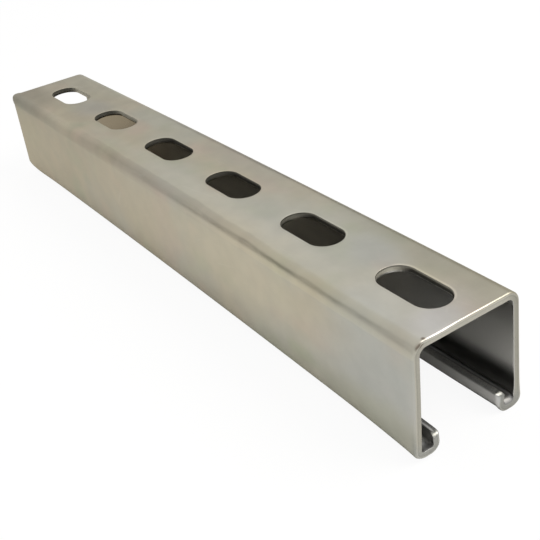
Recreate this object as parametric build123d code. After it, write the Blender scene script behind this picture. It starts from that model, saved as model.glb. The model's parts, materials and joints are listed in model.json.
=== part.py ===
from build123d import *
import os

# Slotted strut channel: one steel strip, punched with a row of slots and bent into a square
# channel, whose open side has two lips that turn back into the hollow.
# Millimetres. The origin is at the middle of the bottom of the channel's box, X runs along
# the channel and Z points up. The slotted web is on top and the open mouth faces down.

# Channel
LENGTH = 304.8
WIDTH = 41.3
HEIGHT = 41.3
WALL = 2.5
WEB_BEND_RADIUS = 2.5   # inside of the bend between the web and a wall

# Lips
LIP_GROOVE = 4.5        # clear width between a wall and the lip that faces it
LIP_HEIGHT = 6.5        # from the underside up to the lip's free edge
LIP_BEND_RADIUS = 1.5   # inside of the two bends of a lip
LIP_EDGE_RADIUS = 0.4   # eased corners of the lip's free edge

# Slots
SLOT_LENGTH = 28.0
SLOT_WIDTH = 13.5
SLOT_PITCH = 50.8
END_LAND = 8.2          # metal between the +X end and its slot, and the least at the other end
SLOT_EDGE_RADIUS = 0.4  # edge that the punch draws in around a slot's outer rim

# Cut ends
CUT_EDGE_RADIUS = 0.35

LIP_WIDTH = LIP_GROOVE + 2 * WALL
SLOT_COUNT = int((LENGTH - 2 * END_LAND - SLOT_LENGTH) // SLOT_PITCH) + 1
FIRST_SLOT_X = LENGTH / 2 - END_LAND - SLOT_LENGTH / 2


def strip_corners():
    """Corners of the strip's middle line in Y and Z, from the -Y lip's edge to the +Y one's."""
    half_wall = WALL / 2
    wall_y = WIDTH / 2 - half_wall
    lip_y = WIDTH / 2 - LIP_WIDTH + half_wall
    left = [
        (-lip_y, LIP_HEIGHT),
        (-lip_y, half_wall),
        (-wall_y, half_wall),
        (-wall_y, HEIGHT - half_wall),
    ]
    right = [(-y, z) for y, z in reversed(left)]
    return left + right


def section():
    """Section at the -X end: the wall's thickness drawn along the bent middle line."""
    lip_radius = LIP_BEND_RADIUS + WALL / 2
    web_radius = WEB_BEND_RADIUS + WALL / 2
    radii = [lip_radius, lip_radius, web_radius, web_radius, lip_radius, lip_radius]
    with BuildSketch(Plane.YZ.offset(-LENGTH / 2)) as strip:
        with BuildLine():
            FilletPolyline(*strip_corners(), radius=radii)
        trace(line_width=WALL)
        lip_tips = strip.vertices().filter_by(lambda v: abs(v.Y - LIP_HEIGHT) < WALL / 100)
        fillet(lip_tips, LIP_EDGE_RADIUS)
    return strip.sketch


def slot_places():
    """Middle of each slot on the web's outer face, from the +X end on."""
    return [(FIRST_SLOT_X - i * SLOT_PITCH, 0) for i in range(SLOT_COUNT)]


def strut_channel():
    """The bent strip with its slots punched through the web and its edges eased."""
    with BuildPart() as channel:
        extrude(section(), amount=LENGTH, dir=(1, 0, 0))
        ends = channel.faces().filter_by(Axis.X)
        fillet(ends.edges(), CUT_EDGE_RADIUS)
        with BuildSketch(Plane.XY.offset(HEIGHT)):
            with Locations(*slot_places()):
                SlotOverall(SLOT_LENGTH, SLOT_WIDTH)
        extrude(amount=-WALL, mode=Mode.SUBTRACT)
        web_face = channel.faces().sort_by(Axis.Z)[-1]
        rims = ShapeList(edge for wire in web_face.inner_wires() for edge in wire.edges())
        fillet(rims, SLOT_EDGE_RADIUS)
    return channel.part


os.makedirs("parts", exist_ok=True)
export_step(strut_channel(), "parts/strut_channel.step")
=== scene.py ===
import bpy
import json
import math
import numpy as np
from mathutils import Matrix, Vector


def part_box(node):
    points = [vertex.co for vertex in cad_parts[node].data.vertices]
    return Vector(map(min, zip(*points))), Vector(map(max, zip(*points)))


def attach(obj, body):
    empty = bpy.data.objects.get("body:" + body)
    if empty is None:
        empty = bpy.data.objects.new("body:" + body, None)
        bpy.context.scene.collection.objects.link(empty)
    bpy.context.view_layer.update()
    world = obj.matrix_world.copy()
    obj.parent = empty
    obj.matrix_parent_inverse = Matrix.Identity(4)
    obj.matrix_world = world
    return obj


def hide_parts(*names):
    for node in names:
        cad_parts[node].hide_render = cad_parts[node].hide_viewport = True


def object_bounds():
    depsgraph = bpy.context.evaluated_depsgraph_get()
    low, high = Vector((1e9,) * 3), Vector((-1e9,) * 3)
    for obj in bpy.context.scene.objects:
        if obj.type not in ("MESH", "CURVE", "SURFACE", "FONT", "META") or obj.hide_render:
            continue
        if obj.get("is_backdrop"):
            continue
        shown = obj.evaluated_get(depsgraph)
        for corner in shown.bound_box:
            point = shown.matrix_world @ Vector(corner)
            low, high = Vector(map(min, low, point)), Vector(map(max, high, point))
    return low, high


# Slotted strut channel: one zinc plated steel strip, punched with a row of slots and bent into a
# square channel with two inturned lips. Metres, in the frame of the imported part: the origin is at
# the middle of the bottom of its box, X runs along it, Z is up and the slotted web is on top.
# The strip is first laid out flat: x is the place along it, s the place across it from the web's
# middle along the bent strip's middle line, and n the height above that line, outwards.
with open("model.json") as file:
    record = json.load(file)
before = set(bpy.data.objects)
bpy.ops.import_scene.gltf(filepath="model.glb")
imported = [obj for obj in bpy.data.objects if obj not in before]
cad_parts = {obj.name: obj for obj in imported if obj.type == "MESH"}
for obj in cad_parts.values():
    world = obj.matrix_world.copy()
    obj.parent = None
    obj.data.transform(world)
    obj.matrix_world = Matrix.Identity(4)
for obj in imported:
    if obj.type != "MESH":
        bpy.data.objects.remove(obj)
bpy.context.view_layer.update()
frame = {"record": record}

MM = 0.001

# Channel
PIECE = "strut_channel"
CAD_LOW, CAD_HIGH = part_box(PIECE)
LENGTH = CAD_HIGH.x - CAD_LOW.x
WIDTH = CAD_HIGH.y - CAD_LOW.y
HEIGHT = CAD_HIGH.z - CAD_LOW.z
WALL = 2.5 * MM
WEB_BEND_RADIUS = 2.5 * MM  # inside, mean over the bend
LIP_GROOVE = 4.5 * MM
LIP_HEIGHT = 6.5 * MM
LIP_BEND_RADIUS = 1.5 * MM  # inside, mean over the bend
BEND_EASE = 0.18  # share of a bend over which its curve builds up from flat
OUTER_ROUNDING = 0.65 * MM  # rims at the cut ends, where the shear rolls over the outer face
LIP_ROUNDING = 0.3 * MM  # rims of the lips' free edges, on the outer face
INNER_ROUNDING = 0.2 * MM  # rims on the inner face
RIM_REACH = 0.8 * MM  # from the strip's border to the grids over its faces

# Slots
SLOT_ROUNDING = 0.15 * MM  # rim that the punch rolls in
SLOT_DRAW_IN = 1.1 * MM  # band around a slot that the punch pulls down
SLOT_DRAW_DEPTH = 0.07 * MM
SLOT_EXIT_ROUNDING = 0.12 * MM  # rim inside the channel, where the punch breaks out
SLOT_MARGIN = 3.0 * MM  # from a slot to the edge of its own mesh cell

# Release of the strip's stress at the cut ends
FLARE_REACH = 41.0 * MM
FLARE_POWER = 1.2  # of the depth below the web, with which a wall's flare grows
CAMBER = 0.77 * MM  # sideways bow, from the ends to the middle

# Mesh steps
STEP_ALONG = 2.2 * MM
STEP_AT_SLOT = 0.95 * MM
STEP_AT_CUT = 0.3 * MM
CUT_BAND = 1.0 * MM  # finely stepped band at each cut end
STEP_ON_FLAT = 2.6 * MM
WEB_BEND_STEPS = 18
LIP_BEND_STEPS = 9
RIM_ROUNDING_STEPS = 5
SLOT_ROUNDING_STEPS = 6
INNER_ROUNDING_STEPS = 2
DRAW_IN_STEPS = 5
WALL_SHARES = (0.33, 0.67)  # rows through a sheared wall, between its roundings
OUTER_CELL_SHARES = (1.0, 0.6, 0.25)  # rows from the border of a slot's cell in to the rim
INNER_CELL_SHARES = (0.1, 0.5, 1.0)  # rows from the inner rim out to the border
DRAWN_IN_CUT = 0.25  # how far the drawn-in band counts as sheared at its foot
LINE_STEPS = 12000  # steps of the middle line
BEND_STEPS = 2000  # steps of a bend's mean
SAME_PLACE = 0.001 * MM  # points nearer to each other than this are one


def turned(share):
    """Share of a bend's right angle that is turned at a share of its length.

    The curve rises evenly over the first BEND_EASE of the bend, stays, and falls evenly over
    the last, so the turned share is its integral, scaled to end at one.
    """
    e = BEND_EASE
    t = np.clip(share, 0.0, 1.0)
    rising = t**2 / (2 * e)
    steady = t - e / 2
    falling = (1 - e) - (1 - t)**2 / (2 * e)
    return np.where(t < e, rising, np.where(t > 1 - e, falling, steady)) / (1 - e)


def bend_length(radius):
    """Length of the middle line in a right-angled bend whose mean radius is given."""
    return radius * math.pi / 2


def bend_setback(radius):
    """Distance from a bend's start to the corner of its two straights: the mean of the heading's
    cosine along the bend, times the bend's length."""
    t = (np.arange(BEND_STEPS) + 0.5) / BEND_STEPS
    return np.mean(np.cos(turned(t) * math.pi / 2)) * bend_length(radius)


def strip_runs():
    """Straights and bends of half the middle line, from the web's middle to the lip's edge, as
    (length, share of a right angle that it turns)."""
    web_radius = WEB_BEND_RADIUS + WALL / 2
    lip_radius = LIP_BEND_RADIUS + WALL / 2
    web_back = bend_setback(web_radius)
    lip_back = bend_setback(lip_radius)
    web_bend = (bend_length(web_radius), 1)
    lip_bend = (bend_length(lip_radius), 1)
    return [
        (WIDTH / 2 - WALL / 2 - web_back, 0),
        web_bend,
        (HEIGHT - WALL - web_back - lip_back, 0),
        lip_bend,
        (LIP_GROOVE + WALL - 2 * lip_back, 0),
        lip_bend,
        (LIP_HEIGHT - WALL / 2 - lip_back, 0),
    ]


RUNS = strip_runs()
RUN_STARTS = np.concatenate([[0.0], np.cumsum([length for length, turn in RUNS])])
HALF_STRIP = RUN_STARTS[-1]
WEB_BEND, WALL_FLAT, LIP_OUTER_BEND, LIP_FLAT, LIP_INNER_BEND = 1, 2, 3, 4, 5
LEFT, RIGHT = -1, 1


def bend_middle(run):
    """Place across the strip of a bend's or a straight's middle, on the right half."""
    return RUN_STARTS[run] + RUNS[run][0] / 2


# Walls that moved sideways at a cut: cut end, side, outwards at the web, outwards at the lips
FLARES = [
    (CAD_LOW.x, LEFT, 0.0, 0.7 * MM),
    (CAD_LOW.x, RIGHT, 0.0, 0.3 * MM),
    (CAD_HIGH.x, LEFT, -0.4 * MM, 0.86 * MM),
    (CAD_HIGH.x, RIGHT, -0.2 * MM, 0.7 * MM),
]
# Places that the shear dragged out of shape: cut end, place across, half width, reach, moved in
# y, moved in z, share of that on the inner face
DRAGS = [
    (CAD_LOW.x, -bend_middle(WEB_BEND), 3.3 * MM, 12 * MM, -0.9 * MM, 1.0 * MM, 0.25),
    (CAD_LOW.x, -bend_middle(LIP_OUTER_BEND), 2.4 * MM, 15 * MM, 0.2 * MM, 1.6 * MM, 0.25),
    (CAD_LOW.x, -bend_middle(LIP_OUTER_BEND), 5.5 * MM, 4.5 * MM, 0.0, 1.9 * MM, 1.0),
    (CAD_HIGH.x, -bend_middle(LIP_OUTER_BEND), 2.4 * MM, 7 * MM, -0.55 * MM, 0.6 * MM, 0.25),
    (CAD_HIGH.x, bend_middle(LIP_OUTER_BEND), 2.4 * MM, 7 * MM, 0.65 * MM, -0.1 * MM, 0.25),
    (CAD_HIGH.x, bend_middle(LIP_FLAT), 7.8 * MM, 2.1 * MM, -0.15 * MM, -1.45 * MM, 1.0),
    (CAD_HIGH.x, HALF_STRIP, 4.0 * MM, 1.3 * MM, 0.5 * MM, -0.9 * MM, 1.0),
    (CAD_HIGH.x, -HALF_STRIP, 5.0 * MM, 2.4 * MM, -0.45 * MM, -0.45 * MM, 1.0),
]
# Places that the shear thickened, or thinned or nicked by amounts below 0: cut end, place across,
# half width, reach, added on the outer face, added on the inner face
SWELLINGS = [
    (CAD_HIGH.x, RUN_STARTS[LIP_OUTER_BEND] + 0.6 * MM, 4.6 * MM, 4 * MM, 0.3 * MM, 0.5 * MM),
    (CAD_HIGH.x, RUN_STARTS[WEB_BEND] + 3.0 * MM, 3.2 * MM, 2.5 * MM, 0.0, 0.15 * MM),
    (CAD_HIGH.x, -RUN_STARTS[WEB_BEND] - 3.0 * MM, 3.2 * MM, 2.5 * MM, 0.0, 0.3 * MM),
    (CAD_HIGH.x, -RUN_STARTS[WEB_BEND] - 2.2 * MM, 0.7 * MM, 1.2 * MM, -0.3 * MM, 0.0),
    (CAD_HIGH.x, -RUN_STARTS[WEB_BEND] - 3.6 * MM, 0.6 * MM, 0.9 * MM, -0.25 * MM, 0.0),
    (CAD_HIGH.x, -bend_middle(WALL_FLAT), 17.0 * MM, 3.2 * MM, -0.2 * MM, 0.0),
    (CAD_HIGH.x, -10.5 * MM, 8.0 * MM, 2.6 * MM, -0.42 * MM, 0.0),
    (CAD_HIGH.x, HALF_STRIP - 1.5 * MM, 5.0 * MM, 1.1 * MM, -0.5 * MM, 0.0),
]


def middle_line():
    """Heading, y and z of half the middle line at closely spaced places across the strip.

    The heading falls by a right angle over each bend, as turned says. y and z are the running
    integrals of the heading's cosine and sine.
    """
    s = np.linspace(0.0, HALF_STRIP, LINE_STEPS + 1)
    heading = np.zeros_like(s)
    for start, (length, turn) in zip(RUN_STARTS, RUNS):
        if turn:
            heading -= turned((s - start) / length) * math.pi / 2
    step = s[1] - s[0]
    slopes = np.array([np.cos(heading), np.sin(heading)])
    sums = np.cumsum((slopes[:, 1:] + slopes[:, :-1]) / 2 * step, axis=1)
    y, z = np.column_stack([[0.0, 0.0], sums])
    return s, heading, y, z + HEIGHT - WALL / 2


MIDDLE_LINE = middle_line()


def bent_normal(s):
    """y and z of the bent middle line's outward normal at places across the strip: minus the
    heading's sine, mirrored on the left half, and its cosine."""
    s_line, heading_line, _, _ = MIDDLE_LINE
    heading = np.interp(np.abs(s), s_line, heading_line)
    return -np.sin(heading) * np.where(s < 0, -1, 1), np.cos(heading)


def bent(flat):
    """Places of flat points (x, s, n) on the bent strip.

    A point goes to the middle line's point at s, plus n times the line's outward normal. The
    line's left half is the mirror image of its right half.
    """
    s_line, _, y_line, z_line = MIDDLE_LINE
    x, s, n = flat[:, 0], flat[:, 1], flat[:, 2]
    normal_y, normal_z = bent_normal(s)
    y = np.interp(np.abs(s), s_line, y_line) * np.where(s < 0, -1, 1) + n * normal_y
    z = np.interp(np.abs(s), s_line, z_line) + n * normal_z
    return np.column_stack([x, y, z])


def eased(share):
    """Smooth rise from 0 to 1: three times the share's square less twice its cube."""
    t = np.clip(share, 0.0, 1.0)
    return t * t * (3 - 2 * t)


def ramp(x, end, reach):
    """Square of the share of a reach before a cut end: 0 from the reach inwards, 1 at the cut."""
    return np.clip(1 - np.abs(x - end) / reach, 0.0, 1.0)**2


def hump(s, middle, half):
    """Rounded hump across the strip: the squared cosine, 1 at its middle and 0 half a width off."""
    return np.cos(np.clip(np.abs(s - middle) / half, 0.0, 1.0) * math.pi / 2)**2


def sprung(points, flat):
    """The bent strip after it is cut to length.

    The walls flare sideways near a cut, by an amount that grows to the cut as a square, and
    from its value at the web to that at the lips as a power of the depth. The whole strip has a
    camber that falls with the square of the distance from its middle. Here and there the shear
    drags a bend or a flat aside, or thickens, thins or nicks it, by humps across the strip that
    fade away from the cut.
    """
    x, y, z = points.T
    s, n = flat[:, 1], flat[:, 2]
    moved = points.copy()
    moved[:, 1] += CAMBER * (0.5 - (2 * x / LENGTH)**2)
    depth = np.clip(1 - z / HEIGHT, 0.0, 1.0)**FLARE_POWER
    out_face = np.clip(0.5 + n / WALL, 0.0, 1.0)
    for end, side, at_web, at_lips in FLARES:
        share = ramp(x, end, FLARE_REACH) * eased(0.5 + side * y / WIDTH)
        moved[:, 1] += side * share * (at_web + (at_lips - at_web) * depth)
    for end, place, half, reach, out_y, out_z, inner_share in DRAGS:
        share = ramp(x, end, reach) * hump(s, place, half)
        share *= inner_share + (1 - inner_share) * out_face
        moved[:, 1] += share * out_y
        moved[:, 2] += share * out_z
    normal_y, normal_z = bent_normal(s)
    for end, place, half, reach, outwards, inwards in SWELLINGS:
        swell = ramp(x, end, reach) * hump(s, place, half)
        swell *= outwards * out_face - inwards * (1 - out_face)
        moved[:, 1] += swell * normal_y
        moved[:, 2] += swell * normal_z
    return moved


def slot_row():
    """Middles of the slots along X, and their length and width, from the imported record's bolt
    patterns, which are pairs of slots."""
    places = []
    for mount in frame["record"]["mounts"]:
        if mount["kind"] == "bolt_pattern":
            dims = mount["dims"]
            half = dims["spacing_x_mm"] * MM / 2
            places += [mount["pos_m"][0] - half, mount["pos_m"][0] + half]
    return sorted(places), dims["slot_length_mm"] * MM, 2 * dims["hole_r_mm"] * MM


SLOTS, SLOT_LENGTH, SLOT_WIDTH = slot_row()
CELL_HALF_LENGTH = SLOT_LENGTH / 2 + SLOT_MARGIN
CELL_HALF_WIDTH = SLOT_WIDTH / 2 + SLOT_MARGIN


def stations(breaks):
    """Places along a line from (place, step to the next place) pairs: each stretch is divided
    evenly, as near to its step as fits."""
    places = [breaks[0][0]]
    for (start, step), (end, _) in zip(breaks[:-1], breaks[1:]):
        count = max(1, round((end - start) / step))
        places += list(np.linspace(start, end, count + 1)[1:])
    return np.array(places)


def stations_along():
    """Grid places along X: fine near the cut ends and beside the slots' round ends."""
    low, high = CAD_LOW.x + RIM_REACH, CAD_HIGH.x - RIM_REACH
    straight = SLOT_LENGTH / 2 - SLOT_WIDTH / 2
    breaks = [(low, STEP_AT_CUT), (low + CUT_BAND, STEP_AT_SLOT)]
    for place in SLOTS:
        breaks += [
            (place - CELL_HALF_LENGTH, STEP_AT_SLOT),
            (place - straight, STEP_ON_FLAT),
            (place + straight, STEP_AT_SLOT),
            (place + CELL_HALF_LENGTH, STEP_ALONG),
        ]
    breaks[-1] = (breaks[-1][0], STEP_AT_SLOT)
    breaks += [(high - CUT_BAND, STEP_AT_CUT), (high, 0.0)]
    return stations(breaks)


def stations_across():
    """Grid places across the strip: even steps on each straight and bend of RUNS."""
    edge = HALF_STRIP - RIM_REACH
    breaks = [(0.0, STEP_AT_SLOT), (CELL_HALF_WIDTH, STEP_ON_FLAT)]
    for run, (length, turn) in enumerate(RUNS[1:], start=1):
        steps = WEB_BEND_STEPS if run == WEB_BEND else LIP_BEND_STEPS
        breaks.append((RUN_STARTS[run], length / steps if turn else STEP_ON_FLAT))
    breaks.append((edge, 0.0))
    half = stations(breaks)
    return np.concatenate([-half[:0:-1], half])


ALONG = stations_along()
ACROSS = stations_across()


def cells(kept, columns, flip):
    """Four-cornered faces of the grid cells that are kept, seen from the normal's side."""
    i, j = np.nonzero(kept)
    corner = i * columns + j
    faces = np.column_stack([corner, corner + columns, corner + columns + 1, corner + 1])
    return faces[:, ::-1] if flip else faces


def sheet(level, flip):
    """Grid over the whole strip at one height n, open where the slots' own cells go.

    A grid point is (ALONG[i], ACROSS[j], level). Returns rows (x, s, n, cut, facing) and faces.
    """
    x, s = np.meshgrid(ALONG, ACROSS, indexing="ij")
    rows = np.column_stack([x.ravel(), s.ravel(), np.full(x.size, level), np.zeros((x.size, 2))])
    mid_x = (ALONG[1:] + ALONG[:-1]) / 2
    mid_s = (ACROSS[1:] + ACROSS[:-1]) / 2
    in_slot = np.any([np.abs(mid_x - place) < CELL_HALF_LENGTH for place in SLOTS], axis=0)
    kept = ~(in_slot[:, None] & (np.abs(mid_s) < CELL_HALF_WIDTH)[None, :])
    return rows, cells(kept, len(ACROSS), flip)


def lofted(stages):
    """Faces between neighbouring rows of points, each row a closed path of the same length.

    Stage k's point i is joined to its next point and to the same two of stage k + 1.
    """
    rows, count = len(stages), len(stages[0])
    i = np.arange(count)
    k = np.arange(rows - 1)[:, None] * count
    after = (i + 1) % count
    faces = np.stack([k + i, k + after, k + count + after, k + count + i], axis=-1)
    return np.concatenate(stages), faces.reshape(-1, 4)


def quarter(steps):
    """Shares (across, down) of a quarter round, from its level end to its upright end."""
    angle = np.linspace(0.0, math.pi / 2, steps + 1)
    return np.sin(angle), 1 - np.cos(angle)


def slot_profile():
    """Profile of a slot's rim from the outer face through the wall to the inner face, as rows
    (outset from the slot's wall, n, cut).

    Outside, the face first sinks with the square of the way over SLOT_DRAW_IN and then turns
    down in a quarter round. Inside, a smaller quarter round meets the inner face.
    """
    top = WALL / 2
    drawn = top - SLOT_DRAW_DEPTH
    sink = [
        (SLOT_ROUNDING + SLOT_DRAW_IN * (1 - t), top - SLOT_DRAW_DEPTH * t * t, DRAWN_IN_CUT * t)
        for t in np.linspace(0.0, 1.0, DRAW_IN_STEPS + 1)[:-1]
    ]
    out, down = quarter(SLOT_ROUNDING_STEPS)
    outer_rim = [
        (SLOT_ROUNDING * (1 - a), drawn - SLOT_ROUNDING * b, DRAWN_IN_CUT + (1 - DRAWN_IN_CUT) * b)
        for a, b in zip(out, down)
    ]
    low = drawn - SLOT_ROUNDING
    wall = [(0.0, low + (SLOT_EXIT_ROUNDING - top - low) * t, 1.0) for t in WALL_SHARES]
    out, down = quarter(INNER_ROUNDING_STEPS)
    inner_rim = [
        (SLOT_EXIT_ROUNDING * (1 - a), SLOT_EXIT_ROUNDING * b - top, 1.0 - b)
        for a, b in zip(out[::-1], down[::-1])
    ]
    return np.array(sink + outer_rim + wall + inner_rim)


def border(x, s):
    """x and s of the points round a grid's border, from its lowest corner along x first."""
    path_x = np.concatenate([x, np.full(len(s) - 1, x[-1]), x[-2::-1], np.full(len(s) - 2, x[0])])
    path_s = np.concatenate([np.full(len(x), s[0]), s[1:], np.full(len(x) - 1, s[-1]), s[-2:0:-1]])
    return path_x, path_s


def slot_cell(place):
    """Mesh cell of one slot: the rim's profile carried round the slot, filled out to the cell's
    rectangle on both faces.

    Each point of the rectangle has one on the slot's outline, straight in towards the nearest
    point of the slot's spine, half a slot width from it. Facing is the x part of that line.
    """
    x = ALONG[np.abs(ALONG - place) < CELL_HALF_LENGTH + SAME_PLACE] - place
    s = ACROSS[np.abs(ACROSS) < CELL_HALF_WIDTH + SAME_PLACE]
    path_x, path_s = border(x, s)
    spine = np.clip(path_x, (SLOT_WIDTH - SLOT_LENGTH) / 2, (SLOT_LENGTH - SLOT_WIDTH) / 2)
    reach = np.hypot(path_x - spine, path_s)
    out_x, out_s = (path_x - spine) / reach, path_s / reach
    stages = []

    def stage(distance, level, cut):
        stages.append(np.column_stack([
            place + spine + out_x * distance,
            out_s * distance,
            np.full(len(reach), level),
            np.full(len(reach), cut),
            out_x,
        ]))

    profile = slot_profile()
    first, last = profile[0, 0], profile[-1, 0]
    for share in OUTER_CELL_SHARES:
        stage(SLOT_WIDTH / 2 + first + (reach - SLOT_WIDTH / 2 - first) * share, WALL / 2, 0.0)
    for outset, level, cut in profile:
        stage(SLOT_WIDTH / 2 + outset, level, cut)
    for share in INNER_CELL_SHARES:
        stage(SLOT_WIDTH / 2 + last + (reach - SLOT_WIDTH / 2 - last) * share, -WALL / 2, 0.0)
    return lofted(stages)


def rim_profile(rounding):
    """Profile of the strip's rim from the outer face round to the inner face, as rows (out from
    the grid's border, n, cut): a level stretch, a quarter round, the wall, a small quarter round,
    and back in level to the border."""
    level = RIM_REACH - rounding
    out, down = quarter(RIM_ROUNDING_STEPS)
    outer = [(0.0, WALL / 2, 0.0)]
    outer += [(level + rounding * a, WALL / 2 - rounding * b, b) for a, b in zip(out, down)]
    span = WALL - rounding - INNER_ROUNDING
    through = [(RIM_REACH, outer[-1][1] - span * t, 1.0) for t in WALL_SHARES]
    out, down = quarter(INNER_ROUNDING_STEPS)
    inner = [
        (RIM_REACH - INNER_ROUNDING * (1 - a), INNER_ROUNDING * b - WALL / 2, b)
        for a, b in zip(out[::-1], down[::-1])
    ]
    return np.array(outer + through + inner + [(0.0, -WALL / 2, 0.0)])


def strip_rim():
    """Rim round the whole strip: the rim's profile carried round the sheets' border. Along the
    cut ends it moves out in x, along the lips in s."""
    path_x, path_s = border(ALONG, ACROSS)
    out_x = np.sign(path_x) * np.isclose(np.abs(path_x), ALONG[-1])
    out_s = np.sign(path_s) * np.isclose(np.abs(path_s), ACROSS[-1])
    on_end = (out_x != 0)[None, :, None]
    at_end, at_lip = rim_profile(OUTER_ROUNDING), rim_profile(LIP_ROUNDING)
    profile = np.where(on_end, at_end[:, None], at_lip[:, None])
    rows = [
        np.column_stack([
            path_x + out_x * row[:, 0],
            path_s + out_s * row[:, 0],
            row[:, 1:],
            np.zeros(len(path_x)),
        ])
        for row in profile
    ]
    points, faces = lofted(rows)
    return points, faces[:, ::-1]


def joined(parts):
    """One mesh of several: the points end to end, then each place kept once."""
    points = np.concatenate([p for p, f in parts])
    starts = np.cumsum([0] + [len(p) for p, f in parts[:-1]])
    faces = np.concatenate([f + start for (p, f), start in zip(parts, starts)])
    keys = np.round(points[:, :3] / SAME_PLACE).astype(np.int64)
    _, first, index = np.unique(keys, axis=0, return_index=True, return_inverse=True)
    used, faces = np.unique(index.reshape(-1)[faces], return_inverse=True)
    return points[first][used], faces.reshape(-1, 4)


def mesh_object(name, points, faces, material):
    """Object at the origin whose mesh has these points and four-cornered faces."""
    mesh = bpy.data.meshes.new(name)
    mesh.from_pydata(points.tolist(), [], faces.tolist())
    mesh.polygons.foreach_set("use_smooth", np.ones(len(faces), bool))
    mesh.materials.append(material)
    mesh.update()
    obj = bpy.data.objects.new(name, mesh)
    bpy.context.scene.collection.objects.link(obj)
    return obj


def add_values(obj, name, values):
    """Gives each point of an object's mesh a number, under a name."""
    attribute = obj.data.attributes.new(name, "FLOAT", "POINT")
    attribute.data.foreach_set("value", values.astype(np.float32))


def strut_channel(material):
    """The channel: both faces of the flat strip, its slots and its rims, bent and sprung."""
    parts = [sheet(WALL / 2, flip=False), sheet(-WALL / 2, flip=True), strip_rim()]
    parts += [slot_cell(place) for place in SLOTS]
    flat, faces = joined(parts)
    obj = mesh_object("zinc_channel", sprung(bent(flat[:, :3]), flat), faces, material)
    strip = obj.data.attributes.new("strip", "FLOAT_VECTOR", "POINT")
    strip.data.foreach_set("vector", flat[:, :3].astype(np.float32).ravel())
    add_values(obj, "cut", flat[:, 3])
    add_values(obj, "facing", flat[:, 4])
    return obj


class Finish:
    """The nodes of a material or a world, with short forms for them. Each value may be a plain
    one or a node's output."""

    def __init__(self, owner):
        owner.use_nodes = True
        self.owner = owner
        self.nodes = owner.node_tree.nodes
        self.links = owner.node_tree.links

    def put(self, socket, value):
        """Sets a socket to a plain value, or links it to an output."""
        if isinstance(value, bpy.types.NodeSocket):
            self.links.new(value, socket)
        else:
            socket.default_value = value

    def node(self, kind, values=None, **settings):
        """A new node with these settings, and these values of its sockets."""
        node = self.nodes.new("ShaderNode" + kind)
        for name, setting in settings.items():
            setattr(node, name, setting)
        for name, value in (values or {}).items():
            self.put(node.inputs[name], value)
        return node

    def attribute(self, name, output):
        """Output Vector or Fac of one of the mesh's own attributes."""
        return self.node("Attribute", attribute_name=name).outputs[output]

    def split(self, vector):
        """The three parts of a vector."""
        return self.node("SeparateXYZ", {0: vector}).outputs

    def math(self, operation, *values):
        """Result of an operation on one to three numbers."""
        return self.node("Math", dict(enumerate(values)), operation=operation).outputs[0]

    def times(self, first, second):
        """Product of two numbers."""
        return self.math("MULTIPLY", first, second)

    def added(self, total, value, factor):
        """A total, plus a value times a factor."""
        return self.math("MULTIPLY_ADD", value, factor, total)

    def stretched(self, vector, scale, shift=(0.0, 0.0, 0.0)):
        """A vector times a scale for each axis, plus a shift."""
        values = {0: vector, 1: scale, 2: shift}
        return self.node("VectorMath", values, operation="MULTIPLY_ADD").outputs[0]

    def length(self, vector):
        """Length of a vector."""
        return self.node("VectorMath", {0: vector}, operation="LENGTH").outputs["Value"]

    def noise(self, vector, scale, detail=2.0, roughness=0.5):
        """Cloudy noise about 0.5, with scale blotches to a metre."""
        values = {"Vector": vector, "Scale": scale, "Detail": detail, "Roughness": roughness}
        return self.node("TexNoise", values).outputs["Fac"]

    def rise(self, value, low, high, start=0.0, end=1.0):
        """Smooth change from start to end while a value goes from low to high."""
        values = {"Value": value, "From Min": low, "From Max": high, "To Min": start, "To Max": end}
        return self.node("MapRange", values, interpolation_type="SMOOTHSTEP").outputs["Result"]

    def between(self, value, low, high, soft):
        """1 where a value is from low to high, with a smooth change of twice soft at both."""
        into = self.rise(value, low - soft, low + soft)
        return self.times(into, self.rise(value, high - soft, high + soft, 1.0, 0.0))

    def grey(self, level):
        """Grey of a level."""
        return self.node("CombineColor", {0: level, 1: level, 2: level}).outputs[0]

    def blend(self, share, first, second, kind="MIX"):
        """Colour that goes from the first to the second with a share."""
        values = {"Factor": share, "A": first, "B": second}
        return self.node("Mix", values, data_type="RGBA", blend_type=kind).outputs["Result"]

    def bump(self, height, distance, strength, below=None):
        """Normal from a height of 0 to 1 that stands for a distance in metres."""
        values = {"Height": height, "Distance": distance, "Strength": strength}
        if below is not None:
            values["Normal"] = below
        return self.node("Bump", values).outputs[0]

    def shader(self, kind, values=None):
        """Output of a new shader."""
        return self.node(kind, values).outputs[0]

    def mixed(self, share, first, second):
        """Shader that goes from the first to the second with a share."""
        return self.shader("MixShader", {0: share, 1: first, 2: second})


# Zinc plate
ZINC_WARM = (0.470, 0.424, 0.328, 1.0)
ZINC_COOL = (0.452, 0.440, 0.372, 1.0)
ZINC_PINK = (0.500, 0.418, 0.345, 1.0)
ZINC_GREEN = (0.415, 0.425, 0.318, 1.0)
# Lips: greyer, and painted darker as shade, and lighter near the open end as painted light
LIP_GREY_AND_PAINTED_SHADE = (0.360, 0.356, 0.342, 1.0)
LIP_NEAR_GREY_AND_PAINTED_LIGHT = (0.480, 0.478, 0.465, 1.0)
# Inner face, painted light and shade, in order from the far cut to the open end: grey at the far
# cut, a painted brown reflection, the zinc painted darker, and painted light near the open end
INSIDE_FAR_CUT_PAINTED_SHADE = (0.280, 0.270, 0.225, 1.0)
INSIDE_FAR_PAINTED_REFLECTION = (0.255, 0.205, 0.130, 1.0)
INSIDE_PAINTED_SHADE = (0.355, 0.330, 0.270, 1.0)
INSIDE_NEAR_PAINTED_LIGHT = (0.480, 0.477, 0.456, 1.0)
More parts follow.
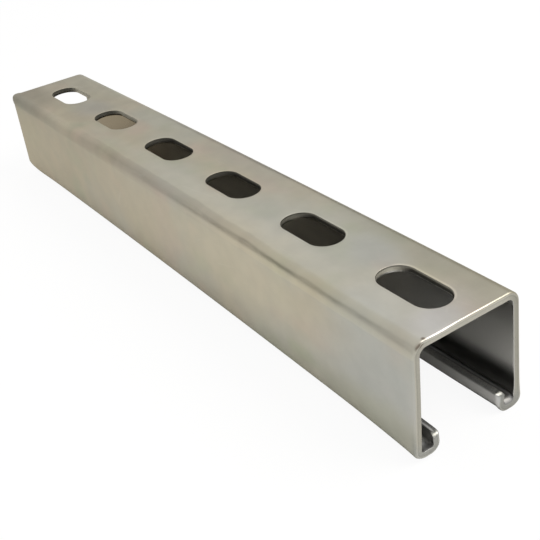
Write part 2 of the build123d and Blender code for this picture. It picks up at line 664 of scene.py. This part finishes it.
# Painted shade and light in the grooves behind the lips: the right one, the left one's bottom and
# lip, and both at the near cut
GROOVE_RIGHT_PAINTED_SHADE = (0.200, 0.198, 0.191, 1.0)
GROOVE_LEFT_PAINTED_LIGHT = (0.900, 0.900, 0.885, 1.0)
GROOVE_LIP_PAINTED_SHADE = (0.130, 0.129, 0.125, 1.0)
GROOVE_NEAR_PAINTED_SHADE = (0.260, 0.258, 0.250, 1.0)
# Sheared faces and marks
ZINC_CUT = (0.435, 0.418, 0.355, 1.0)
# Lips' free edges: a mottled pair painted darker as shade, painted shade along the left groove and a
# painted highlight beside it
LIP_EDGE_MOTTLE_SHADED = (0.290, 0.288, 0.278, 1.0)
LIP_EDGE_MOTTLE_LIGHT_SHADED = (0.420, 0.418, 0.405, 1.0)
LIP_EDGE_PAINTED_SHADE = (0.080, 0.079, 0.076, 1.0)
LIP_EDGE_PAINTED_HIGHLIGHT = (0.800, 0.795, 0.780, 1.0)
ZINC_SCRATCH = (0.600, 0.585, 0.530, 1.0)
SCUFF = (0.160, 0.130, 0.100, 1.0)
# Tints that the colour below them is multiplied with. The three bend tints are painted reflection
# hues.
BEND_TINT_FAR = (0.96, 0.985, 1.02, 1.0)
BEND_TINT = (0.94, 0.925, 0.945, 1.0)
BEND_TINT_NEAR = (0.98, 0.96, 0.90, 1.0)
# Painted shade where the lips turn up
LIP_RIM_PAINTED_SHADE = (0.50, 0.50, 0.50, 1.0)
LIP_END_TINT = (0.91, 0.95, 1.04, 1.0)
# Painted highlight on the slots' rolled rims
ROLLED_RIM_PAINTED_HIGHLIGHT = (1.23, 1.23, 1.22, 1.0)
EDGE_TINT = (0.72, 0.71, 0.68, 1.0)  # of what the metal mirrors at a low angle
# Large patches of the plate, partly its own tone and partly painted light and shade: x, s, half
# sizes in x and s, in millimetres, colour, share of it
PLATE_TONE_AND_SHADE_PATCHES = [
    (138, -13, 34, 16, (0.500, 0.492, 0.440, 1.0), 0.8),
    (142, 3, 12, 10, (0.430, 0.405, 0.385, 1.0), 0.5),
    (118, 20, 60, 16, (0.335, 0.322, 0.262, 1.0), 0.7),
    (15, 15, 50, 9, (0.385, 0.375, 0.325, 1.0), 0.5),
    (72, -4, 36, 20, (0.455, 0.450, 0.400, 1.0), 0.7),
    (40, -12, 110, 6, (0.535, 0.510, 0.435, 1.0), 0.6),
    (-140, 0, 80, 30, (0.405, 0.374, 0.300, 1.0), 0.6),
    (-135, -38, 70, 28, (0.500, 0.445, 0.330, 1.0), 0.8),
    (138, -38, 36, 26, (0.440, 0.446, 0.415, 1.0), 0.85),
    (60, -30, 60, 18, (0.555, 0.500, 0.375, 1.0), 0.75),
    (-25, -34, 50, 20, (0.520, 0.460, 0.345, 1.0), 0.75),
    (-150, -14, 34, 10, (0.335, 0.307, 0.250, 1.0), 0.85),
    (136, -51, 30, 9, (0.435, 0.430, 0.340, 1.0), 0.6),
    (148, -7, 9, 10, (0.525, 0.515, 0.535, 1.0), 0.4),
    (106, 5, 16, 9, (0.425, 0.425, 0.390, 1.0), 0.75),
    (-98, 0, 14, 10, (0.385, 0.378, 0.345, 1.0), 0.6),
    (155, -54, 5, 8, (0.240, 0.245, 0.235, 1.0), 0.9),
]
PATCH_HALF_HEIGHT = 1.0  # so large that a patch is even through the wall
# Dark scuffs where the shear tore the near end's corner: x, s, n and their half sizes
SCUFFS = [
    ((152.2 * MM, -18.2 * MM, 0.95 * MM), (0.9 * MM, 0.95 * MM, 0.30 * MM)),
    ((152.3 * MM, -17.4 * MM, 0.30 * MM), (0.8 * MM, 0.9 * MM, 0.22 * MM)),
    ((151.6 * MM, -16.0 * MM, 1.15 * MM), (0.6 * MM, 0.6 * MM, 0.60 * MM)),
]
SCUFF_SHARE = 0.85
SCUFF_SPREAD = -0.2  # moves a scuff's edge outwards, in scuffs
# Two sets of fine scratches: angle, cells to a metre, width as a share of a cell
SCRATCHES = [(0.5, 70.0, 0.010), (-0.25, 95.0, 0.008)]
SCRATCH_SHARE = 0.12

# Bands across the strip, from its middle outwards: from, to, softness
BEND_TOP = RUN_STARTS[WEB_BEND] + 1.0 * MM
BEND_WHOLE = (BEND_TOP, RUN_STARTS[WALL_FLAT], 1.0 * MM)
# Painted shade and highlight on the web's bends, in place of what they mirror: a dimmer band, a dark
# line, a bright band and a paler band
BEND_DIMMER_BAND = (BEND_TOP + 0.7 * MM, BEND_TOP + 3.1 * MM, 0.4 * MM)
BEND_DARK_LINE = (BEND_TOP + 2.65 * MM, BEND_TOP + 3.2 * MM, 0.3 * MM)
BEND_BRIGHT = (BEND_TOP + 3.5 * MM, BEND_TOP + 5.7 * MM, 0.4 * MM)
BEND_PALE = (BEND_TOP + 0.5 * MM, BEND_TOP + 4.2 * MM, 1.2 * MM)
BEND_SWAY = 2.0 * MM  # unevenness of these bands
BEND_DROP = -0.36 * MM  # how far they lie lower near the open end
# Band of the lips' painted shade where they turn up
LIP_RIM = (HALF_STRIP - 5.7 * MM, HALF_STRIP - 3.7 * MM, 0.4 * MM)
RIGHT_OF_SLOT = (3.5 * MM, 9.0 * MM, 1.0 * MM)
# Changes across the strip, from its middle outwards: from, to
LIP_START = RUN_STARTS[LIP_OUTER_BEND]
TO_BEND = (13.0 * MM, 20.0 * MM)
TO_LIP = (LIP_START - 4.0 * MM, LIP_START + 2.0 * MM)
TO_GROOVE = (LIP_START, LIP_START + 1.0 * MM)
TO_GROOVE_LIP = (60.5 * MM, 64.0 * MM)
TO_LIP_EDGE = (HALF_STRIP - 1.2 * MM, HALF_STRIP - 0.9 * MM)
PAST_SLOT = (10.0 * MM, 11.0 * MM)
# Changes across the strip, from left to right: from, to
TO_RIGHT = (-1.0 * MM, 1.0 * MM)
TO_SLOT_MIDDLE = (-7.0 * MM, -2.0 * MM)
TO_RIGHT_BEND = (12.0 * MM, 22.0 * MM)
# Changes and bands through the wall, from the inner face outwards: from, to, softness
TO_OUTER_FACE = (-0.8 * MM, 0.4 * MM)
TO_END_BAND = (0.5 * MM, 1.0 * MM)
END_LINE = (0.30 * MM, 0.60 * MM, 0.15 * MM)
PAST_BURR = (-1.15 * MM, -0.95 * MM)
TIP_BAND = (-0.6 * MM, 0.95 * MM, 0.35 * MM)
TO_SIDE_TOP = (0.3 * MM, 1.1 * MM)
# Bands of painted shade and painted highlight on the left lip's free edge
PAST_DARK_SIDE = (-0.75 * MM, -0.45 * MM)
LIP_HIGHLIGHT_BAND = (-0.45 * MM, 0.10 * MM, 0.2 * MM)
WAVE = 0.5 * MM  # unevenness of the bands on a sheared face
# Change from the slots' walls to a cut end, along X from the middle outwards: from, to
TO_CUT_END = (LENGTH / 2 - 2.4 * MM, LENGTH / 2 - 1.4 * MM)
# Changes and a band from an outer face to a sheared one, by its share of a cut
TO_SHEARED = (0.3, 0.9)
ROLLED_BAND = (0.12, 0.50, 0.06)
TO_SLOT_SIDE = (-0.90, -0.10)  # from a slot's far tip, by the x part of the way out of the slot
NOISE_SPAN = (0.3, 0.7)  # within which a cloudy noise mostly stays
# Depths of the relief
CLOUD_DEPTH = 0.025 * MM
STREAK_DEPTH = 0.001 * MM
GRAIN_DEPTH = 0.002 * MM
SHEAR_DEPTH = 0.015 * MM
SCRATCH_DEPTH = 0.004 * MM
INSIDE_SMOOTHING = 0.9  # share of the relief that the inner face lacks


class ZincPlate(Finish):
    """Satin zinc plate on rolled steel, with painted light and shade in much of its colour.

    The mesh carries each point's place on the flat strip, how far the point is on a sheared
    face, and on which side of a slot it lies. All patterns follow from these.
    """

    def __init__(self):
        super().__init__(bpy.data.materials.new("zinc_plate"))
        self.strip = self.attribute("strip", "Vector")
        self.sheared = self.attribute("cut", "Fac")
        self.facing = self.attribute("facing", "Fac")
        self.along, self.across, self.height = self.split(self.strip)
        self.off_middle = self.math("ABSOLUTE", self.across)
        self.inside = self.rise(self.height, *TO_OUTER_FACE, 1.0, 0.0)
        self.on_bend = self.between(self.off_middle, *BEND_WHOLE)
        self.in_groove = self.rise(self.off_middle, *TO_GROOVE)
        self.at_end = self.rise(self.math("ABSOLUTE", self.along), *TO_CUT_END)
        self.in_slot = self.math("SUBTRACT", 1.0, self.at_end)
        self.cloud = self.noise(self.strip, 130.0, 4.0, 0.55)
        self.streak = self.noise(self.stretched(self.strip, (14.0, 900.0, 200.0)), 1.0, 3.0, 0.6)
        self.grain = self.noise(self.strip, 2600.0, 2.0, 0.6)
        shear_place = self.stretched(self.strip, (2600.0, 2600.0, 3200.0))
        self.shear_marks = self.noise(shear_place, 1.0, 3.0, 0.6)
        self.marks = self.math("MAXIMUM", *[self.scratches(*values) for values in SCRATCHES])
        self.wavy = self.added(self.height, self.cloud, WAVE)

    def fade(self, low, high, start=0.0, end=1.0):
        """Smooth change from start to end between two places along X, in millimetres."""
        return self.rise(self.along, low * MM, high * MM, start, end)

    def scratches(self, angle, count, width):
        """Sparse fine scratches, 1 on them: the borders of long, turned cells, where a noise
        lets them show."""
        values = {"Vector": self.strip, "Rotation": (0.0, 0.0, angle), "Scale": (0.12, 1.0, 0.2)}
        values = {"Vector": self.node("Mapping", values).outputs[0], "Scale": count}
        cell = self.node("TexVoronoi", values, feature="DISTANCE_TO_EDGE")
        line = self.rise(cell.outputs["Distance"], 0.0, width, 1.0, 0.0)
        shown = self.noise(self.stretched(self.strip, (1.0, 1.0, 1.0), (angle, 7.0, 0.0)), 45.0, 3.0)
        return self.times(line, self.rise(shown, 0.56, 0.68))

    def spot(self, edge, middle, half):
        """1 in the middle of a rounded spot on the strip, falling smoothly to 0 past its edge.

        The spot's half sizes divide the offset from its middle, whose length, with a number
        added that moves or roughens the edge, is the distance in spots.
        """
        scale = [1 / size for size in half]
        shift = [-at / size for at, size in zip(middle, half)]
        length = self.length(self.stretched(self.strip, scale, shift))
        return self.rise(self.math("ADD", length, edge), 0.25, 1.3, 1.0, 0.0)

    def plain_colour(self):
        """Colour of the plate: warm and cool drifts, faint pink and green blooms, the large patches
        of tone and of painted light and shade, and slight lights and darks in clouds and rolling
        streaks."""
        drift = self.noise(self.stretched(self.strip, (0.8, 1.0, 0.2)), 21.0)
        colour = self.blend(self.rise(drift, 0.36, 0.64), ZINC_WARM, ZINC_COOL)
        bloom_place = self.stretched(self.strip, (1.0, 1.3, 0.2), (3.1, 0.0, 0.0))
        bloom = self.noise(bloom_place, 34.0)
        colour = self.blend(self.rise(bloom, 0.52, 0.68, 0.0, 0.7), colour, ZINC_PINK)
        colour = self.blend(self.rise(bloom, 0.32, 0.48, 0.7, 0.0), colour, ZINC_GREEN)
        edge = self.added(-0.35, self.noise(self.strip, 60.0, 3.0), 0.7)
        # Patches of the plate's own tone and of painted light and shade
        for x, s, half_x, half_s, tint, share in PLATE_TONE_AND_SHADE_PATCHES:
            half = (half_x * MM, half_s * MM, PATCH_HALF_HEIGHT)
            spread = self.spot(edge, (x * MM, s * MM, 0.0), half)
            colour = self.blend(self.times(spread, share), colour, tint)
        shade = self.rise(self.cloud, *NOISE_SPAN, 0.96, 1.035)
        shade = self.times(shade, self.rise(self.streak, *NOISE_SPAN, 0.992, 1.006))
        return self.blend(1.0, colour, self.grey(shade), "MULTIPLY")

    def bend_shade(self):
        """Painted shade and highlight on the web's bends, in place of what they mirror: a dimmer
        band above, a bright one below, and between them a dark, patchy line near the open end. All
        of them sway, and lie lower near the open end. Towards the far end they fade out, and short
        of it the bend is painted paler."""
        sway = self.noise(self.stretched(self.strip, (1.0, 1.0, 0.0)), 42.0, 3.0, 0.6)
        line = self.added(self.off_middle, sway, BEND_SWAY)
        line = self.math("ADD", line, self.fade(20, 80, 0.0, BEND_DROP))
        fading = self.fade(-110, -20)
        dimmer = self.times(fading, self.fade(50, 110, -0.14, -0.06))
        shade = self.added(1.0, self.between(line, *BEND_DIMMER_BAND), dimmer)
        bright = self.times(fading, self.fade(60, 110, 0.07, 0.11))
        shade = self.added(shade, self.between(line, *BEND_BRIGHT), bright)
        paler = self.times(self.fade(-100, -30, 0.18, 0.0), self.fade(-118, -88))
        shade = self.added(shade, self.between(self.off_middle, *BEND_PALE), paler)
        patch_place = self.stretched(self.strip, (1.0, 0.3, 0.0), (0.0, 5.0, 0.0))
        patchy = self.noise(patch_place, 55.0)
        depth = self.times(self.fade(20, 80, 0.0, -0.23), self.rise(patchy, 0.35, 0.65, 0.6, 1.3))
        depth = self.times(depth, self.fade(115, 140, 1.0, 0.35))
        return self.added(shade, self.between(line, *BEND_DARK_LINE), depth)

    def outer_colour(self):
        """Colour of the outer face: the plate with painted shade, highlight and reflection hues on
        its bends, a few fine scratches, and greyer lips that are painted darker as shade, lighter
        near the open end as painted light, and with painted shade where they turn up."""
        shade = self.grey(self.bend_shade())
        colour = self.blend(1.0, self.plain_colour(), shade, "MULTIPLY")
        # Painted reflection hues on the bends
        tint = self.blend(self.fade(20, 100), BEND_TINT, BEND_TINT_NEAR)
        tint = self.blend(self.fade(-120, -70), BEND_TINT_FAR, tint)
        colour = self.blend(self.on_bend, colour, tint, "MULTIPLY")
        colour = self.blend(self.times(self.marks, SCRATCH_SHARE), colour, ZINC_SCRATCH)
        # Lips greyer and painted darker as shade, with painted light near the open end and painted
        # shade where they turn up
        on_lip = self.rise(self.off_middle, RUN_STARTS[LIP_FLAT], RUN_STARTS[LIP_INNER_BEND])
        lip = self.blend(self.fade(110, 150), LIP_GREY_AND_PAINTED_SHADE, LIP_NEAR_GREY_AND_PAINTED_LIGHT)
        colour = self.blend(on_lip, colour, lip)
        return self.blend(self.between(self.off_middle, *LIP_RIM), colour, LIP_RIM_PAINTED_SHADE, "MULTIPLY")

    def inner_colour(self):
        """Colour of the inner face, painted light and shade: lighter grey near the open end, a
        painted brown reflection farther in and greyer again at the far cut. The grooves have painted
        shade, and the left one painted light at its bottom only."""
        # Painted light and shade along the inside of the channel
        colour = self.blend(self.fade(-100, -20), INSIDE_FAR_PAINTED_REFLECTION, INSIDE_PAINTED_SHADE)
        colour = self.blend(self.fade(60, 130), colour, INSIDE_NEAR_PAINTED_LIGHT)
        colour = self.blend(self.fade(-148, -140), INSIDE_FAR_CUT_PAINTED_SHADE, colour)
        # Painted shade in the grooves, with painted light at the left one's bottom
        on_lip = self.rise(self.off_middle, *TO_GROOVE_LIP)
        groove = self.blend(on_lip, GROOVE_LEFT_PAINTED_LIGHT, GROOVE_LIP_PAINTED_SHADE)
        groove = self.blend(self.rise(self.across, *TO_RIGHT), groove, GROOVE_RIGHT_PAINTED_SHADE)
        groove = self.blend(self.fade(148, 151), groove, GROOVE_NEAR_PAINTED_SHADE)
        return self.blend(self.in_groove, colour, groove)

    def end_shade(self):
        """Shade of a cut end, partly the shear's own bands and partly painted light: a bright band
        of painted highlight below its rolled rim, then a thin dark line, a torn band and a burr with
        a painted highlight. Painted light makes it lightest across the web and painted shade darkest
        on the right."""
        # Painted highlight on the band below the rolled rim, the shear's dark line, and a painted
        # highlight on the burr
        shade = self.added(0.97, self.rise(self.wavy, *TO_END_BAND), 0.23)
        shade = self.added(shade, self.between(self.wavy, *END_LINE), -0.12)
        shade = self.added(shade, self.rise(self.height, *PAST_BURR, 1.0, 0.0), 0.2)
        # Painted light across the web and painted shade on the right
        shade = self.times(shade, self.rise(self.off_middle, *TO_BEND, 1.12, 0.93))
        return self.times(shade, self.rise(self.across, *TO_RIGHT_BEND, 1.0, 0.88))

    def slot_shade(self):
        """Painted light and shade on the slots' walls. They are torn, and painted dark. Towards the
        open end the far tip of a slot has a painted bright band, which fades out to the left, and
        the rest a painted lighter top. In the slots at the far end the sides are painted pale."""
        # Painted bright band on a slot's far tip, a painted lighter top and pale far sides, and the
        # rest painted dark
        tip = self.times(self.between(self.wavy, *TIP_BAND), self.fade(30, 110, 0.12, 1.0))
        tip = self.times(tip, self.rise(self.across, *TO_SLOT_MIDDLE, 0.25, 1.05))
        tip = self.math("ADD", tip, self.fade(-60, -10, 0.28, 0.31))
        top = self.times(self.rise(self.wavy, *TO_SIDE_TOP), self.fade(-20, 120, 0.2, 0.95))
        side = self.math("ADD", self.fade(-60, -40, 1.45, 0.28), top)
        at_tip = self.rise(self.facing, *TO_SLOT_SIDE, 1.0, 0.0)
        return self.blend(at_tip, self.grey(side), self.grey(tip))

    def lip_edge_colour(self):
        """Colour of the lips' free edges: mottled, and painted darker as shade, and on the left one
        painted shade along the groove and a painted highlight beside that."""
        light = self.rise(self.shear_marks, 0.4, 0.6)
        colour = self.blend(light, LIP_EDGE_MOTTLE_SHADED, LIP_EDGE_MOTTLE_LIGHT_SHADED)
        on_left = self.rise(self.across, *TO_RIGHT, 1.0, 0.0)
        # Painted shade along the groove, and a painted highlight beside it
        dark = self.times(self.rise(self.height, *PAST_DARK_SIDE, 1.0, 0.0), on_left)
        colour = self.blend(dark, colour, LIP_EDGE_PAINTED_SHADE)
        painted_highlight = self.times(self.between(self.height, *LIP_HIGHLIGHT_BAND), on_left)
        return self.blend(painted_highlight, colour, LIP_EDGE_PAINTED_HIGHLIGHT)

    def sheared_colour(self):
        """Colour of the sheared faces: the cut ends, bluer round the lips, and the slots' walls, all
        with their painted light and shade and fine shear marks, and the lips' free edges."""
        shade = self.blend(self.at_end, self.slot_shade(), self.grey(self.end_shade()))
        shade = self.times(shade, self.rise(self.shear_marks, *NOISE_SPAN, 0.93, 1.05))
        colour = self.blend(1.0, ZINC_CUT, self.grey(shade), "MULTIPLY")
        on_lip = self.rise(self.off_middle, *TO_LIP)
        colour = self.blend(on_lip, colour, LIP_END_TINT, "MULTIPLY")
        on_edge = self.times(self.rise(self.off_middle, *TO_LIP_EDGE), self.in_slot)
        return self.blend(on_edge, colour, self.lip_edge_colour())

    def rolled_rim_highlight(self):
        """1 on the rolled rim along the right of the slots near the open end, where a highlight is
        painted.
        """
        rim = self.between(self.sheared, *ROLLED_BAND)
        rim = self.times(rim, self.between(self.across, *RIGHT_OF_SLOT))
        return self.times(rim, self.fade(50, 125))

    def colour(self):
        """Colour of the whole channel: the two faces, the rims and sheared faces with their painted
        light and shade, the painted highlight on the slots' rolled rims, the scuffs.
        """
        colour = self.blend(self.inside, self.outer_colour(), self.inner_colour())
        # Painted highlight on the slots' rolled rims
        colour = self.blend(self.rolled_rim_highlight(), colour, ROLLED_RIM_PAINTED_HIGHLIGHT, "MULTIPLY")
        colour = self.blend(self.rise(self.sheared, *TO_SHEARED), colour, self.sheared_colour())
        for middle, half in SCUFFS:
            spread = self.spot(SCUFF_SPREAD, middle, half)
            colour = self.blend(self.times(spread, SCUFF_SHARE), colour, SCUFF)
        return colour

    def roughness(self):
        """Roughness: cloudy and streaked, greater towards the far end, on sheared faces, in the
        grooves and on the bends, and less on the inner face and in scratches."""
        rough = self.rise(self.cloud, *NOISE_SPAN, 0.355, 0.395)
        rough = self.math("ADD", rough, self.fade(-150, 20, 0.14, 0.0))
        rough = self.math("ADD", rough, self.rise(self.streak, *NOISE_SPAN, -0.01, 0.01))
        inner = self.rise(self.cloud, *NOISE_SPAN, 0.24, 0.27)
        rough = self.blend(self.inside, self.grey(rough), self.grey(inner))
        slot_wall = self.times(self.in_slot, self.rise(self.off_middle, *PAST_SLOT, 0.25, 0.0))
        rough = self.added(rough, self.sheared, self.math("ADD", slot_wall, 0.03))
        rough = self.added(rough, self.times(self.in_groove, self.inside), 0.2)
        softer = self.math("ADD", self.fade(-70, 60, 0.20, 0.0), self.fade(80, 130, 0.0, 0.08))
        rough = self.added(rough, self.on_bend, softer)
        return self.added(rough, self.marks, -0.05)

    def relief(self):
        """Normal of the finish: clouds, streaks, grain and scratches, fainter on the inner face,
        and shear marks on the sheared faces."""
        strength = self.added(1.0, self.inside, -INSIDE_SMOOTHING)
        relief = self.bump(self.cloud, CLOUD_DEPTH, strength)
        relief = self.bump(self.streak, STREAK_DEPTH, strength, relief)
        relief = self.bump(self.grain, GRAIN_DEPTH, strength, relief)
        relief = self.bump(self.shear_marks, SHEAR_DEPTH, self.sheared, relief)
        return self.bump(self.times(self.marks, -1.0), SCRATCH_DEPTH, strength, relief)


def zinc_plate():
    """Material of the zinc plate."""
    plate = ZincPlate()
    inputs = plate.nodes["Principled BSDF"].inputs
    plate.put(inputs["Base Color"], plate.colour())
    plate.put(inputs["Roughness"], plate.roughness())
    plate.put(inputs["Normal"], plate.relief())
    plate.put(inputs["Metallic"], 1.0)
    plate.put(inputs["Specular Tint"], EDGE_TINT)
    return plate.owner


# Floor
FLOOR_RADIUS = 1.4
FLOOR_RINGS = (0.001, 0.2, 0.4, 0.6, 0.8, 1.0)
FLOOR_SIDES = 96
FLOOR_FADE = (0.35 * FLOOR_RADIUS, 0.97 * FLOOR_RADIUS)
FLOOR_COLOUR = (0.8, 0.8, 0.79, 1.0)
WHITE = (1.0, 1.0, 1.0, 1.0)
SHADOW_LIFT = 0.92  # share of the floor's shadow that is lifted where it is seen
SHADE_MARGIN = 15.0 * MM


def seen_rays(finish):
    """Two 0 or 1 values: 1 on camera rays, and 1 on glossy and transmission rays."""
    path = finish.node("LightPath").outputs
    mirrored = finish.math("MAXIMUM", path["Is Glossy Ray"], path["Is Transmission Ray"])
    return path["Is Camera Ray"], mirrored


def floor_paper():
    """Pale matt floor with a soft edge. Where it is seen or mirrored it is white and most of
    its shadow is lifted, but in a mirror the shade below the channel stays."""
    floor = Finish(bpy.data.materials.new("floor_paper"))
    floor.nodes.clear()
    by_camera, by_mirror = seen_rays(floor)
    seen = floor.math("MAXIMUM", by_camera, by_mirror)
    matt = floor.shader("BsdfDiffuse", {"Color": floor.blend(seen, FLOOR_COLOUR, WHITE)})
    place = floor.node("TexCoord").outputs["Object"]
    x, y, _ = floor.split(place)
    past_end = floor.rise(floor.math("ABSOLUTE", x), LENGTH / 2, LENGTH / 2 + SHADE_MARGIN)
    past_side = floor.rise(floor.math("ABSOLUTE", y), WIDTH / 2, WIDTH / 2 + SHADE_MARGIN)
    open_floor = floor.math("MAXIMUM", past_end, past_side)
    lifted = floor.math("MAXIMUM", by_camera, floor.times(by_mirror, open_floor))
    white = floor.shader("Emission", {"Color": WHITE})
    paper = floor.mixed(floor.times(lifted, SHADOW_LIFT), matt, white)
    edge = floor.rise(floor.length(place), *FLOOR_FADE)
    whole = floor.mixed(edge, paper, floor.shader("BsdfTransparent"))
    floor.node("OutputMaterial", {"Surface": whole})
    return floor.owner


def ring(radius, level, sides):
    """Level ring of points: point i is at the radius, turned by i steps of a full turn."""
    angle = np.linspace(0.0, 2 * math.pi, sides + 1)[:-1]
    return np.column_stack([radius * np.cos(angle), radius * np.sin(angle), np.full(sides, level)])


def floor_disc(level):
    """Level disc: rings whose radii are FLOOR_RADIUS times the shares in FLOOR_RINGS."""
    stages = [ring(share * FLOOR_RADIUS, level, FLOOR_SIDES) for share in FLOOR_RINGS]
    points, faces = lofted(stages)
    mesh_object("floor", points, faces[:, ::-1], floor_paper())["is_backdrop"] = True


# Light
WORLD_LEVEL = 0.78
WORLD_COLOUR = (1.0, 0.995, 0.985, 1.0)
SOFTBOX_PLACE = Vector((0.60, 0.62, 0.95))
SOFTBOX_AIM = Vector((0.0, 0.0, 0.03))
SOFTBOX_SIZE = 0.9
SOFTBOX_POWER = 9.0
SOFTBOX_COLOUR = (1.0, 0.965, 0.91)
BAND_RADIUS = 1.3
BAND_RINGS = (0.0, 0.25, 0.5, 0.75, 1.0)
BAND_SIDES = 144
BAND_FOOT = 0.12  # height of its lower edge above the floor
BAND_HEIGHT = 0.4
BAND_SOLID = 0.1  # share of its height up to which it is fully dark
BAND_SHADE = (0.05, 0.05, 0.048, 1.0)


def studio_world():
    """Plain soft light all round, which is white where it is seen or mirrored."""
    world = Finish(bpy.data.worlds.new("studio"))
    world.nodes.clear()
    light = world.shader("Background", {"Color": WORLD_COLOUR, "Strength": WORLD_LEVEL})
    white = world.shader("Background", {"Color": WHITE})
    seen = world.math("MAXIMUM", *seen_rays(world))
    world.node("OutputWorld", {"Surface": world.mixed(seen, light, white)})
    bpy.context.scene.world = world.owner


def softbox():
    """One large soft lamp, above and behind the web."""
    lamp = bpy.data.lights.new("softbox", "AREA")
    lamp.shape = "DISK"
    lamp.size = SOFTBOX_SIZE
    lamp.energy = SOFTBOX_POWER
    lamp.color = SOFTBOX_COLOUR
    obj = bpy.data.objects.new("softbox", lamp)
    bpy.context.scene.collection.objects.link(obj)
    obj.location = SOFTBOX_PLACE
    obj.rotation_mode = "QUATERNION"
    obj.rotation_quaternion = (SOFTBOX_AIM - SOFTBOX_PLACE).to_track_quat("-Z", "Y")


def dark_cloth():
    """Dark matt cloth that thins out upwards, with the share of its height."""
    cloth = Finish(bpy.data.materials.new("dark_cloth"))
    cloth.nodes.clear()
    thin = cloth.rise(cloth.attribute("share", "Fac"), BAND_SOLID, 1.0)
    matt = cloth.shader("BsdfDiffuse", {"Color": BAND_SHADE})
    whole = cloth.mixed(thin, matt, cloth.shader("BsdfTransparent"))
    cloth.node("OutputMaterial", {"Surface": whole})
    return cloth.owner


def dark_band():
    """Dark cloth hung round the studio, which only the metal mirrors: rings of one radius, each
    at its share in BAND_RINGS of the cloth's height."""
    stages = [ring(BAND_RADIUS, BAND_FOOT + BAND_HEIGHT * share, BAND_SIDES) for share in BAND_RINGS]
    points, faces = lofted(stages)
    obj = mesh_object("dark_band", points, faces[:, ::-1], dark_cloth())
    add_values(obj, "share", np.repeat(BAND_RINGS, BAND_SIDES))
    obj.visible_camera = False
    obj.visible_diffuse = False
    obj.visible_shadow = False
    obj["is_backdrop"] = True


# Camera
CAMERA_PLACE = Vector((0.30636, -0.14874, 0.18789))
CAMERA_AIM = Vector((0.04742, 0.0, 0.01145))
CAMERA_ROLL = 8.573  # degrees
CAMERA_LENS = 61.235
CAMERA_SENSOR = 36.0


def camera():
    """Camera that looks along the channel from above its near end, rolled to the right."""
    data = bpy.data.cameras.new("camera")
    data.lens = CAMERA_LENS
    data.sensor_width = CAMERA_SENSOR
    data.clip_start = 0.01
    data.clip_end = 50.0
    obj = bpy.data.objects.new("camera", data)
    bpy.context.scene.collection.objects.link(obj)
    level = (CAMERA_AIM - CAMERA_PLACE).to_track_quat("-Z", "Y").to_matrix()
    roll = Matrix.Rotation(-math.radians(CAMERA_ROLL), 3, "Z")
    obj.matrix_world = Matrix.Translation(CAMERA_PLACE) @ (level @ roll).to_4x4()
    bpy.context.scene.camera = obj


camera()
channel = strut_channel(zinc_plate())
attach(channel, "root")
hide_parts(PIECE)
floor_disc(min(0.0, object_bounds()[0].z))
studio_world()
softbox()
dark_band()
bpy.context.scene.view_settings.view_transform = "Standard"
